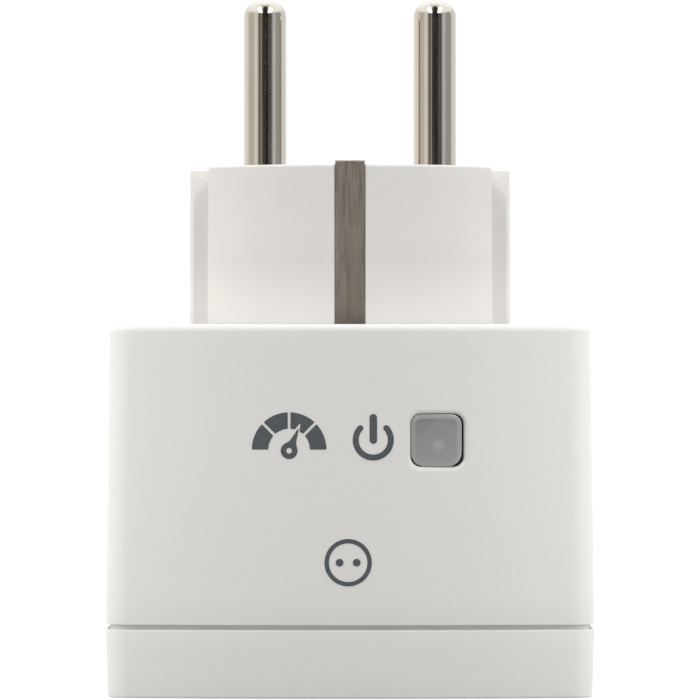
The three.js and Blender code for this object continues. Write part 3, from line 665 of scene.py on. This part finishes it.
def main_housing():
    """The shell, with the button's hole let into its front and a rolled rim round it."""
    rings = housing_rings()
    count = len(rings[0])
    points = [point for ring in rings for point in ring]
    number = [[k * count + i for i in range(count)] for k in range(len(rings))]
    columns = [PATCH_START + i for i in range(PATCH_STEPS + 1)]
    patch_low = BUTTON_Z - PATCH
    outer_low, inner_low = [k for k, ring in enumerate(rings) if abs(ring[0][2] - patch_low) < 1e-6]
    outer_rows = [outer_low + k for k in range(PATCH_STEPS + 1)]
    inner_rows = [inner_low - k for k in range(PATCH_STEPS + 1)]

    open_quads = set()
    for rows in (outer_rows, inner_rows):
        open_quads |= {(min(a, b), i) for a, b in zip(rows, rows[1:]) for i in columns[:-1]}
    faces = []
    for k in range(len(rings)):
        following = (k + 1) % len(rings)
        for i, quad in enumerate(strip_faces(number[k], number[following])):
            if (k, i) not in open_quads:
                faces.append(quad)

    def border(rows):
        low = [number[rows[0]][i] for i in columns[:-1]]
        right = [number[row][columns[-1]] for row in rows[:-1]]
        high = [number[rows[-1]][i] for i in reversed(columns[1:])]
        left = [number[row][columns[0]] for row in reversed(rows[1:])]
        return low + right + high + left

    outside, inside = border(outer_rows), border(inner_rows)
    angles = [math.atan2(points[i][2] - BUTTON_Z, points[i][0] - BUTTON_X) for i in outside]

    def hole_row(outward, share, inset, depth, edge_numbers):
        """A row of points between the patch border and the hole made `outward` wider all round. It
        lies `depth` behind the surface."""
        row = []
        for angle, edge_number in zip(angles, edge_numbers):
            reach = square_reach(angle, HOLE_HALF + outward, HOLE_CORNER + outward)
            hole = Vector((BUTTON_X + reach * math.cos(angle), BUTTON_Z + reach * math.sin(angle)))
            edge = Vector((points[edge_number][0], points[edge_number][2]))
            spot = edge.lerp(hole, share)
            row.append((spot.x, front_y(spot.x, spot.y, inset) + depth, spot.y))
        return row

    rows = [hole_row(RIM, t, 0, 0, outside) for t in (0.35, 0.7, 0.9)]
    for outward, deep in rim_steps():
        rows.append(hole_row(outward, 1, 0, deep, outside))
    rows += [hole_row(0, 1, 0, 1.2, outside)]
    rows += [hole_row(0, t, WALL, 0, inside) for t in (1, 0.6, 0.3)]
    chain = [outside]
    for row in rows:
        chain.append(list(range(len(points), len(points) + len(row))))
        points += row
    chain.append(inside)
    for first, second in zip(chain, chain[1:]):
        faces += strip_faces(first, second)
    shell = add_object("housing_shell", points, faces, 38)
    return place(shell, shell_white, "shell_white", "main_housing")


def rim_steps(steps=8):
    """(distance from the hole, depth) pairs of the rolled rim, from the front surface inwards."""
    last = math.radians(60)
    return [
        (RIM * (1 - math.sin(t) / math.sin(last)), RIM_DEPTH * (1 - math.cos(t)) * 2)
        for t in spread(0, last, steps)
    ]


def screw_posts():
    """Tubes under the shoulder that the four long screws bite into."""
    profile = [(1.5, 8.2), (2.7, 8.2), (2.7, CEILING + 0.3), (1.5, CEILING + 0.3)]
    posts = [turned("screw_post", profile, corner, 32) for corner in CORNERS]
    posts[0].name = "screw_posts"
    return place(combine(posts[0], posts[1:], "UNION"), shell_white, "shell_white")


# ---- plug side

def neck_outline():
    """Circle with flats and guide slots left and right, and strap channels front and back."""
    flat_end = math.acos(NECK_FLAT / NECK_RADIUS)
    channel = math.acos(CHANNEL_HALF / NECK_RADIUS)
    quadrant = [(GUIDE_BOTTOM, GUIDE_HALF)]
    quadrant += arc(NECK_RADIUS, math.asin(GUIDE_HALF / NECK_RADIUS), math.asin(FIN_EDGE / NECK_RADIUS), 2)
    quadrant += [(NECK_FLAT, FIN_EDGE)]
    quadrant += arc(NECK_RADIUS, flat_end, channel, 30)
    quadrant += [(CHANNEL_HALF, CHANNEL_Y)]
    upper = quadrant + [(-x, y) for x, y in reversed(quadrant)]
    return rounded(upper + [(-x, -y) for x, y in upper], 0.22, 4)


def plug_neck():
    outline = neck_outline()

    def ring(z, inset=0):
        scale = (NECK_RADIUS - NECK_DRAFT * (z - SHOULDER) - inset) / NECK_RADIUS
        return [(x * scale, y * scale, z) for x, y in outline]

    fillet = 0.32
    rings = [ring(z) for z in (SHOULDER - 2.2, SHOULDER, 44, 48, 52, 55)]
    rings += [ring(NECK_TOP - fillet + up, inset) for inset, up in quarter(fillet, 6)]
    neck = loft("plug_neck_shell", rings, angle=38)
    base_top = SHOULDER - 0.05
    foot = turned("foot", [
        (0, NECK_BOTTOM), (20.8, NECK_BOTTOM), (20.8, CEILING - 0.3), (NECK_RADIUS, CEILING - 0.3),
        (NECK_RADIUS, base_top - 0.2), (NECK_RADIUS - 0.2, base_top), (0, base_top),
    ])
    combine(neck, [foot], "UNION", 38)
    inner_top = NECK_TOP - 2.2
    cavity = loft("cavity", [at_height(cavity_outline(), z) for z in (NECK_BOTTOM - 1, inner_top)])
    cutters = [cavity]
    for side in (-1, 1):
        funnel = [
            (0, inner_top - 1), (2.6, inner_top - 1), (2.6, NECK_TOP - 0.25),
            (2.85, NECK_TOP), (2.85, NECK_TOP + 1), (0, NECK_TOP + 1),
        ]
        cutters.append(turned("pin_hole", funnel, (side * PIN_X, 0), 48))
        for name, near, far, low, high in [
            ("channel", CHANNEL_Y, 21, NECK_BOTTOM - 1, SHOULDER + 0.5),
            ("hook", 13.3, 18, NECK_TOP - 0.7, NECK_TOP + 1),
            ("slot", 13.3, 14.7, inner_top - 1, NECK_TOP + 1),
        ]:
            cutters.append(block(name, CHANNEL_HALF, (side * near, side * far), (low, high)))
    combine(neck, cutters + fin_tops(), "DIFFERENCE", 38)
    return place(neck, neck_white, "shell_white", "plug_neck")


def fin_tops():
    """Cutters that lower the fins' ends and slope their outer corners for an easy lead-in."""
    start = NECK_FLAT - 0.12
    cutters = []
    for x_side in (-1, 1):
        x_pair = [x_side * start, x_side * 19]
        outline = list(zip(x_pair + x_pair[::-1], (-5.2, -5.2, 5.2, 5.2)))
        cutters.append(loft("fin_end", [at_height(outline, z) for z in (FIN_TOP, FIN_TOP + 2)]))
        for y_side in (-1, 1):
            near = y_side * (FIN_EDGE + 0.01)
            edge = [(x_pair[0], near, 56.2), (x_pair[1], near, 53.2)]
            upper = [(x, near - y_side * 1.6, z + 3.4) for x, _, z in edge]
            slope = [edge[0], edge[1], upper[1], upper[0]]
            cutters.append(loft("lead_in", [slope, [(x, y + y_side * 3, z) for x, y, z in slope]]))
    return cutters


def cavity_outline():
    end = math.acos(13.9 / 15.2)
    upper = arc(15.2, end, math.pi - end, 24)
    return upper + [(-x, -y) for x, y in upper]


def plug_pin(name, side):
    """Nickel pin: drawn shaft, blunt elliptical tip, collar and stub inside the neck."""
    stub, collar, bevel = 1.8, 3.6, 0.15
    foot, collar_low, collar_top = 49.6, 52.4, NECK_TOP - 2.5
    profile = [(0, foot), (stub - 0.2, foot), (stub, foot + 0.2), (stub, collar_low)]
    profile += [(collar - bevel, collar_low), (collar, collar_low + bevel)]
    profile += [(collar, collar_top - bevel), (collar - bevel, collar_top), (PIN_RADIUS, collar_top)]
    profile += [(PIN_RADIUS, z) for z in spread(NECK_TOP, PIN_TIP - TIP_LENGTH - 0.4, 6)]
    tip = arc(1, 0, math.pi / 2, 18)
    profile += [(PIN_RADIUS * x, PIN_TIP - TIP_LENGTH + TIP_LENGTH * y) for x, y in tip[:-1]]
    profile += [(0, PIN_TIP)]
    pin = turned(name + "_body", profile, (side * PIN_X, 0), 72)
    return place(pin, nickel, "pin_nickel", name)


def earth_straps():
    for facing, end in ((-1, "front"), (1, "rear")):
        clip = bent_strip(
            f"plug_earth_strap_{end}",
            [(STRAP_Y, 25.5), (STRAP_Y, NECK_TOP + 0.24), (14, NECK_TOP + 0.24), (14, 52)],
            STRAP_THICK, STRAP_HALF, bend=0.2, edge=0.05, facing=facing,
        )
        place(clip, earth_metal, "earth_strip", f"plug_earth_clip_{end}")
        spring = bent_strip(
            f"socket_earth_leaf_{end}",
            [(18.5, 30), (18.5, 20.05), (22.4, 20.05), (22.4, 5.4), (18.9, 5.4), (17.5, 8.6), (17.5, 11.2),
             (18.6, 14)],
            0.5, STRAP_HALF, bend=0.7, edge=0.08, facing=facing,
        )
        place(spring, earth_metal, "earth_strip", f"socket_earth_spring_{end}")


# ---- socket side

SPIGOT_TOP = 11.8
SPIGOT_OUTER = 0.58
SPIGOT_INNER = 2.3
RING_FLOOR = 2
MOUTH = WELL_RADIUS + 0.3


def socket_ring():
    """Lower cover: outer wall, spigot, floor round the socket's mouth and four screw pockets."""
    foot = 0.3
    top = 0.12
    rings = [square_ring(foot - up, inset, ring_scale) for inset, up in reversed(quarter(foot, 6))]
    rings += [square_ring(z, 0, ring_scale) for z in (2.5, 5)]
    rings += [square_ring(RING_TOP - top + up, inset, ring_scale) for inset, up in quarter(top, 5)]
    rings += [square_ring(RING_TOP, SPIGOT_OUTER, ring_scale), square_ring(SPIGOT_TOP, SPIGOT_OUTER)]
    rings += [square_ring(SPIGOT_TOP, SPIGOT_INNER), square_ring(RING_FLOOR, SPIGOT_INNER)]
    floor = rings[-1]
    rings += [to_circle(floor, MOUTH, share) for share in (0.5, 1)]
    mouth_low = [(x, y, 0) for x, y, _ in rings[0]]
    for inset, up in quarter(0.25, 4):
        flat = [(x, y, 0.25 - up) for x, y, _ in mouth_low]
        rings.append(to_circle(flat, MOUTH + inset, 1))
    rings.append(to_circle(mouth_low, MOUTH + 0.25, 0.5))
    ring = loft("socket_cover", rings, around=True, angle=38)
    pad = [(0, 1.5), (3.4, 1.5), (3.4, 7.9), (0, 7.9)]
    way = [(0, -1), (2.75, -1), (2.75, 0), (2.6, 0.15), (2.6, 2.5), (1.5, 2.5), (1.5, 9), (0, 9)]
    combine(ring, [turned("pad", pad, corner, 40) for corner in CORNERS], "UNION", 38)
    combine(ring, [turned("screw_way", way, corner, 40) for corner in CORNERS], "DIFFERENCE", 38)
    return place(ring, shell_white, "shell_white", "socket_ring")


def socket_well():
    """Recess for the appliance's plug, with two guide ribs, pin holes and spring windows."""
    floor_top = box_mm("socket_well")[1].z
    profile = [(0, RECESS_DEPTH), (RECESS_RADIUS - 0.6, RECESS_DEPTH)]
    profile += [(RECESS_RADIUS - s, RECESS_DEPTH - d) for d, s in [(0.1, 0.25), (0.3, 0.08), (0.6, 0)]]
    profile += [(RECESS_RADIUS, 0.7), (RECESS_RADIUS + 0.1, 0.35), (RECESS_RADIUS + 0.35, 0.1)]
    profile += [(RECESS_RADIUS + 0.7, 0), (WELL_RADIUS - 0.2, 0), (WELL_RADIUS, 0.2)]
    profile += [(WELL_RADIUS, 2.3), (23.4, 2.3), (23.4, 3.9), (WELL_RADIUS, 3.9)]
    profile += [(WELL_RADIUS, floor_top), (0, floor_top)]
    well = turned("socket_recess", profile, steps=128, angle=38)
    ribs = []
    cutters = []
    for side in (-1, 1):
        near, far = sorted((side * 16.1, side * 20.2))
        rib_low, rib_high = (near, -2.45, 1.2), (far, 2.45, RECESS_DEPTH + 0.5)
        ribs.append(rounded_block("rib", rib_low, rib_high, 0.35))
        funnel = [
            (0, RECESS_DEPTH - 1), (3.5, RECESS_DEPTH - 1), (3.5, RECESS_DEPTH),
            (3.0, RECESS_DEPTH + 0.6), (3.0, floor_top + 1), (0, floor_top + 1),
        ]
        cutters.append(turned("pin_hole", funnel, (side * PIN_X, 0), 48))
        cutters.append(block("window", 2.4, (side * 17.4, side * 24), (4.4, 15)))
    combine(well, ribs, "UNION", 38)
    combine(well, cutters, "DIFFERENCE", 38)
    return place(well, socket_white, "socket_white", "socket_well")


def socket_screws():
    """Pan-head screws with a cross recess, in the four pockets of the lower cover."""
    profile = [(0, 0.7), (1.0, 0.74), (1.7, 0.95), (2.1, 1.3), (2.2, 1.65), (2.2, 2.2), (1.2, 2.2)]
    profile += [(1.2, 3.2)]
    for k in range(12):
        turn = 3.4 + k
        profile += [(0.95, turn), (1.2, turn + 0.4), (0.95, turn + 0.8)]
    profile += [(0.95, 15.5), (0, 16.6)]
    for number, (x, y) in enumerate(CORNERS, 1):
        screw = turned(f"socket_screw_body_{number}", profile, (x, y), 32)
        cross = []
        for angle in (30, 120):
            arm = block("cross", 1.25, (-0.24, 0.24), (0.2, 1.55))
            for vertex in arm.data.vertices:
                if vertex.co.z > MM:
                    vertex.co.x *= 0.45
            spin = Matrix.Rotation(math.radians(angle), 4, "Z")
            arm.data.transform(Matrix.Translation((x * MM, y * MM, 0)) @ spin)
            cross.append(arm)
        combine(screw, cross, "DIFFERENCE")
        place(screw, screw_zinc, "screw_steel", f"socket_screw_{number}")


# ---- button

def button_cap():
    """Cap with a shallow sloping border and crisp edges, on a flange with a stem."""
    edge = 0.15
    back = -23.6
    border = BUTTON_FACE + 0.18

    def ring(inset, y):
        points = []
        for k, (sign_x, sign_z) in enumerate([(1, 1), (-1, 1), (-1, -1), (1, -1)]):
            corner = CAP_CORNER_TOP if sign_z > 0 else CAP_CORNER_LOW
            x = CAP_X + sign_x * (CAP_HALF_X - corner)
            z = CAP_Z + sign_z * (CAP_HALF_Z - corner)
            start = k * math.pi / 2
            points += arc(corner - inset, start, start + math.pi / 2, 8, x, z)
        return at_depth(points, y)

    rings = [ring(0, back), ring(0, border + edge)]
    rings += [ring(inset, border + edge - up) for inset, up in quarter(edge, 4)[1:]]
    rings += [ring(0.38, border - 0.13), ring(0.5, border - 0.16), ring(0.65, border - 0.175)]
    rings += [ring(0.9, BUTTON_FACE), ring(1, BUTTON_FACE)]
    cap = loft("button_body", rings, angle=25)
    flange = rounded_block("flange", (BUTTON_X - 3.6, -23.95, 21.4), (BUTTON_X + 3.6, -23.15, 31.2), 0.2)
    stem_ring = circle(1.1, 32, BUTTON_X, 23.3)
    stem = loft("stem", [at_depth(stem_ring, -23.3), at_depth(stem_ring, -22.5)])
    combine(cap, [flange, stem], "UNION", 25)
    return place(cap, button_grey, "button_grey", "button_cap", body="button")


# ---- prints on the front

def inside_outline(point, outline):
    x, y = point
    inside = False
    for (x0, y0), (x1, y1) in zip(outline, outline[1:] + outline[:1]):
        if (y0 > y) != (y1 > y) and x < (x1 - x0) * (y - y0) / (y1 - y0) + x0:
            inside = not inside
    return inside


def printed_shape(name, outlines, holes=()):
    """A thin film of ink in the shape of the outlines, laid on the housing's front."""
    points = []
    faces = []
    proud, sunk = 0.03, 0.02
    grid = 0.6
    for outline in outlines:
        cut_outs = [hole for hole in holes if inside_outline(hole[0], outline)]

        def printed(spot):
            return inside_outline(spot, outline) and not any(inside_outline(spot, h) for h in cut_outs)

        flat = []
        edges = []
        for loop in (outline, *cut_outs):
            start = len(flat)
            edges += [(start + i, start + (i + 1) % len(loop)) for i in range(len(loop))]
            flat += [Vector(p) for p in loop]
        low_x, high_x = min(p.x for p in flat), max(p.x for p in flat)
        low_z, high_z = min(p.y for p in flat), max(p.y for p in flat)
        for i in range(1, int((high_x - low_x) / grid)):
            for j in range(1, int((high_z - low_z) / grid)):
                spot = (low_x + i * grid, low_z + j * grid)
                if printed(spot):
                    flat.append(Vector(spot))
        placed, _, triangles, *_ = delaunay_2d_cdt(flat, edges, [], 0, 1e-6)
        kept = [t for t in triangles if printed(sum((placed[i] for i in t), Vector((0, 0))) / 3)]
        start = len(points)
        count = len(placed)
        points += [(p.x, front_y(p.x, p.y) - proud, p.y) for p in placed]
        points += [(p.x, front_y(p.x, p.y) + sunk, p.y) for p in placed]
        sides = []
        for triangle in kept:
            faces.append([start + i for i in triangle])
            faces.append([start + count + i for i in reversed(triangle)])
            sides += zip(triangle, triangle[1:] + triangle[:1])
        shared = set(sides)
        for a, b in sides:
            if (b, a) not in shared:
                faces.append([start + a, start + b, start + count + b, start + count + a])
    return place(add_object(name, points, faces, 45), ink, "shell_white")


def power_icon():
    """The usual power sign: a broken ring with a bar."""
    x, z = 2.51, 27.91
    middle, thick = 1.895, 0.32
    gap = math.radians(47.5)
    start, end = math.pi / 2 + gap, math.pi / 2 - gap + 2 * math.pi
    outline = arc(middle + thick, start, end, 64, x, z)
    outline += arc(thick, end, end + math.pi, 10, *polar(middle, end, x, z))[1:-1]
    outline += arc(middle - thick, end, start, 64, x, z)
    outline += arc(thick, start + math.pi, start + 2 * math.pi, 10, *polar(middle, start, x, z))[1:-1]
    half = 0.4
    bar = arc(half, 0, math.pi, 12, x, 30.71 - half) + arc(half, math.pi, 2 * math.pi, 12, x, 27.49 + half)
    printed_shape("power_icon", [outline, bar])


def gauge_icon():
    """A four-part dial with a needle."""
    x, z = -6.56, 26.87
    outer, inner = 4.02, 2.25
    half_gap = 0.15

    def end(radius, degrees, sign):
        """Direction of a part's end, half a gap short of the next part if there is one."""
        angle = math.radians(degrees)
        return angle if degrees in (0, 180) else angle + sign * math.asin(half_gap / radius)

    def sector(low, high, notch=()):
        """Part of the dial between two angles in degrees, with an optional notch for the needle."""
        points = arc(outer, end(outer, low, 1), end(outer, high, -1), 16)
        if notch:
            first, apex, second = notch
            points += arc(inner, end(inner, high, -1), math.radians(first), 4)
            points += [apex]
            points += arc(inner, math.radians(second), end(inner, low, 1), 4)
        else:
            points += arc(inner, end(inner, high, -1), end(inner, low, 1), 12)
        return [(x + a, z + b) for a, b in rounded(points, 0.1, 3, corner=40)]

    notched = sector(45, 90, notch=(74.5, (1.28, 2.98), 60.5))
    parts = [sector(0, 45), notched, sector(90, 135), sector(135, 180)]
    hub_z = z - 0.12
    hub = 0.9
    needle = arc(hub, math.radians(142), math.radians(378), 40)
    needle += [(0.77, 0.6), (0.745, 0.88), (0.80, 1.2), (0.87, 1.5), (0.95, 1.95), (1.02, 2.34)]
    needle += [(0.93, 2.34), (0.66, 1.93), (0.42, 1.56), (0.2, 1.24), (0.02, 1.04), (-0.25, 0.87)]
    needle += [(-0.5, 0.76)]
    pointer = [(x + a, hub_z + b) for a, b in needle]
    centre = circle(0.31, 24, x, hub_z)
    printed_shape("gauge_icon", [*parts, pointer], [centre])


def outlet_mark():
    """A plain outlet pictogram: a ring with two dots."""
    x, z = -0.2, 14.7
    dots = [circle(0.42, 24, x + side * 0.92, z) for side in (-1, 1)]
    printed_shape("outlet_mark", [circle(2.55, 64, x, z)], [circle(2.08, 64, x, z)])
    printed_shape("outlet_mark_dots", dots)


# ---- inside: CAD nodes that keep their shape

INSIDE = [
    (carrier_grey, "contact_carrier"),
    (socket_white, "shutter_disc", "push_switch_plunger"),
    (iron, "shutter_spring", "radio_shield", "relay_yoke", "relay_core", "relay_armature"),
    (brass, "neutral_contact", "line_contact", "relay_contact_spring", "relay_fixed_contact"),
    (copper_strip, "neutral_pin_strip", "line_pin_strip", "shunt_resistor"),
    (earth_metal, "earth_bridge"),
    (screw_zinc, "carrier_screw_1", "carrier_screw_2"),
    (laminate, "main_board", "control_board", "radio_board"),
    (yellow_film, "supply_transformer", "film_capacitor"),
    (black_plastic, "electrolytic_capacitor", "metering_chip", "rectifier", "push_switch_body", "relay_base"),
    (copper_wire, "power_inductor", "relay_coil"),
    (ceramic_blue, "varistor", "fusible_resistor"),
    (led_white, "indicator_led"),
    (relay_blue, "relay_cover"),
]


def finish_inside():
    for surface, *nodes in INSIDE:
        for node in nodes:
            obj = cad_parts[node]
            for i in range(len(obj.material_slots)):
                obj.material_slots[i].link = "OBJECT"
                obj.material_slots[i].material = surface


# ---- stage, light and camera

def add_floor():
    outline = circle(4000, 64)
    floor = loft("floor", [at_height(outline, -2), at_height(outline, 0)])
    finish = Finish("floor_white", 0.7, Emission_Color=(1, 1, 1, 1), Emission_Strength=0.22)
    tone = finish.patches(60)
    finish.colour(finish.mixed(tone, (0.88, 0.88, 0.877), (0.9, 0.9, 0.897)))
    floor.data.materials.append(finish.material)
    floor.visible_diffuse = False


def azimuth_ramp(nodes, links, share, stops):
    """World colour by direction round the object: (degrees from the camera, level, warmth)."""
    ramp = nodes.new("ShaderNodeValToRGB")
    links.new(share, ramp.inputs["Fac"])
    elements = ramp.color_ramp.elements
    for angle, *_ in stops[1:-1]:
        elements.new((angle + 180) / 360)
    for element, (_, level, warmth) in zip(elements, stops):
        element.color = (level, level * (1 - 0.4 * warmth), level * (1 - warmth), 1)
    return ramp.outputs["Color"]


def add_world():
    """White studio all round, with the dark band and card edges that the pins mirror."""
    world = bpy.data.worlds.new("studio")
    scene.world = world
    world.use_nodes = True
    tree = world.node_tree
    nodes, links = tree.nodes, tree.links

    def maths(operation, *values):
        node = nodes.new("ShaderNodeMath")
        node.operation = operation
        for port, value in zip(node.inputs, values):
            if isinstance(value, (int, float)):
                port.default_value = value
            else:
                links.new(value, port)
        return node.outputs["Value"]

    def rising(value, start, end):
        node = nodes.new("ShaderNodeMapRange")
        node.interpolation_type = "SMOOTHSTEP"
        node.inputs["From Min"].default_value = start
        node.inputs["From Max"].default_value = end
        links.new(value, node.inputs["Value"])
        return node.outputs["Result"]

    where = nodes.new("ShaderNodeTexCoord")
    split = nodes.new("ShaderNodeSeparateXYZ")
    links.new(where.outputs["Generated"], split.inputs["Vector"])
    x, y, z = split.outputs
    azimuth = maths("ARCTAN2", x, maths("MULTIPLY", y, -1))
    share = maths("MULTIPLY_ADD", azimuth, 0.5 / math.pi, 0.5)
    level_band = azimuth_ramp(nodes, links, share, [
        (-180, 1.06, 0), (-112, 0.92, 0.06), (-98, 0.72, 0.1), (-88, 0.58, 0.1), (-66, 0.60, 0.1),
        (-54, 0.84, 0.08), (-44, 0.84, 0.08), (-38, 0.46, 0.1), (-31, 0.11, 0.2), (-25, 0.14, 0.2),
        (-20, 0.38, 0.1), (-14, 0.05, 0.3), (12, 0.018, 0.3), (19, 0.07, 0.1), (24, 0.13, 0), (32, 0.06, 0),
        (40, 0.4, -0.08), (50, 0.66, -0.08), (62, 0.40, 0), (90, 0.36, 0.02), (103, 0.78, 0), (180, 1.06, 0),
    ])
    above = azimuth_ramp(nodes, links, share, [
        (-180, 1.4, 0), (-110, 1.15, 0), (-60, 1.1, 0), (0, 1.15, 0), (60, 1.1, 0), (110, 1.15, 0),
        (180, 1.4, 0),
    ])
    below = azimuth_ramp(nodes, links, share, [
        (-180, 1.0, 0.02), (-100, 0.8, 0.02), (0, 0.6, 0.02), (100, 0.8, 0.02), (180, 1.0, 0.02),
    ])
    aside = maths("ABSOLUTE", x)
    slot = maths("MULTIPLY", rising(y, 0.45, 0.25), rising(aside, 0.27, 0.19))
    above = mix_colours(tree, slot, above, level_band)
    upper = mix_colours(tree, rising(z, 0.35, 0.6), level_band, above)
    depth = maths("MULTIPLY", z, -1)
    colour = mix_colours(tree, rising(depth, 0.25, 0.5), upper, below)
    links.new(colour, nodes["Background"].inputs["Color"])


def add_softbox(name, place_mm, size_mm, power, aim_mm, mirrored=True):
    light = bpy.data.lights.new(name, "AREA")
    light.shape = "RECTANGLE"
    light.size = size_mm[0] * MM
    light.size_y = size_mm[1] * MM
    light.energy = power
    lamp = bpy.data.objects.new(name, light)
    lamp.location = Vector(place_mm) * MM
    aim = Vector(aim_mm) * MM - lamp.location
    lamp.rotation_euler = aim.to_track_quat("-Z", "Y").to_euler()
    lamp.visible_glossy = mirrored
    scene.collection.objects.link(lamp)


def add_lights():
    """Two tall softboxes that the pins mirror, and fill lights that nothing mirrors."""
    for side in (-1, 1):
        add_softbox(f"softbox_{side}", (side * 262, -345, 560), (220, 640), 0.57, (side * 262, 0, 40))
        fill = 0.035 + side * 0.002
        add_softbox(f"strip_{side}", (side * 75, -60, 20), (16, 90), fill, (0, -22, 20), mirrored=False)
    add_softbox("overhead", (0, -60, 500), (400, 400), 1.38, (0, 0, 40), mirrored=False)


def add_camera():
    """A long lens in front, level with the upper part of the housing."""
    data = bpy.data.cameras.new("camera")
    data.sensor_width = 36
    data.lens = 320
    data.clip_end = 20
    camera = bpy.data.objects.new("camera", data)
    camera.location = Vector((0, -697, 37.6)) * MM
    camera.rotation_euler = (math.pi / 2, 0, 0)
    scene.collection.objects.link(camera)
    scene.camera = camera


main_housing()
screw_posts()
plug_neck()
plug_pin("neutral_pin", -1)
plug_pin("line_pin", 1)
earth_straps()
socket_ring()
socket_well()
socket_screws()
button_cap()
power_icon()
gauge_icon()
outlet_mark()
finish_inside()
add_floor()
add_world()
add_lights()
add_camera()
scene.view_settings.view_transform = "Standard"
